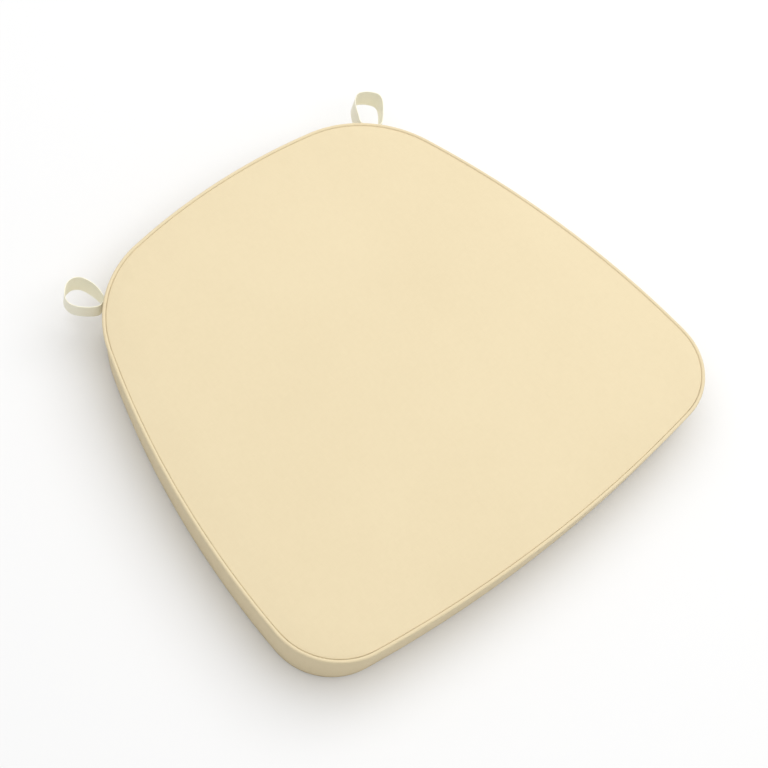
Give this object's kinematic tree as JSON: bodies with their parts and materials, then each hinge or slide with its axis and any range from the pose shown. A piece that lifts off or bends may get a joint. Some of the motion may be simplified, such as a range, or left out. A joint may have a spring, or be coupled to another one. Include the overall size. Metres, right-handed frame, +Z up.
{
  "type": "chair seat pad",
  "caption": "Boxed chair seat pad with a piped top edge, a zipped cover over foam, and ribbon loops at the back corners.",
  "frame": {"origin": "centre of the flat underside", "axes": "+Z up out of the sitting face, +Y towards the narrow back edge with the zip and the loops, +X across the pad"},
  "size_m": [0.41, 0.3794, 0.0452],
  "materials": {
    "cover_cloth": "fine plain weave, matt, cream",
    "welt_cord": "twisted white cotton cord",
    "foam": "open-cell upholstery foam",
    "wadding": "white polyester wadding",
    "zip_tape": "cream woven tape",
    "zip_coil": "cream nylon",
    "zip_metal": "satin nickel plate",
    "ribbon": "woven grosgrain ribbon, cream"
  },
  "bodies": {
    "pad": {"top_panel": "cover_cloth", "bottom_panel": "cover_cloth", "front_boxing_band": "cover_cloth", "left_back_band": "cover_cloth", "right_back_band": "cover_cloth", "upper_zip_band": "cover_cloth", "lower_zip_band": "cover_cloth", "welt_cover": "cover_cloth", "welt_cord": "welt_cord", "foam_core": "foam", "top_wadding": "wadding", "upper_zip_tape": "zip_tape", "lower_zip_tape": "zip_tape", "upper_zip_coil": "zip_coil", "lower_zip_coil": "zip_coil", "left_zip_stop": "zip_metal", "right_zip_stop": "zip_metal"},
    "slider": {"zip_slider": "zip_metal"},
    "pull": {"zip_pull_tab": "zip_metal"},
    "left_ribbon": {"left_loop": "ribbon"},
    "right_ribbon": {"right_loop": "ribbon"}
  },
  "joints": [
    {"name": "zip_travel", "type": "hinge", "parent": "pad", "child": "slider", "pos_m": [0, -0.33978, 0.0195], "axis": [0, 0, 1], "range_deg": [0, 16.05]},
    {"name": "pull_swing", "type": "hinge", "parent": "slider", "child": "pull", "pos_m": [0.07403, 0.1839, 0.0195], "axis": [0, 0, -1], "range_deg": [0, 180]},
    {"name": "left_loop_swing", "type": "hinge", "parent": "pad", "child": "left_ribbon", "pos_m": [-0.13241, 0.16094, 0.03035], "axis": [0, 0, 1], "range_deg": [-45, 45]},
    {"name": "right_loop_swing", "type": "hinge", "parent": "pad", "child": "right_ribbon", "pos_m": [0.13241, 0.16094, 0.03035], "axis": [0, 0, 1], "range_deg": [-45, 45]}
  ]
}
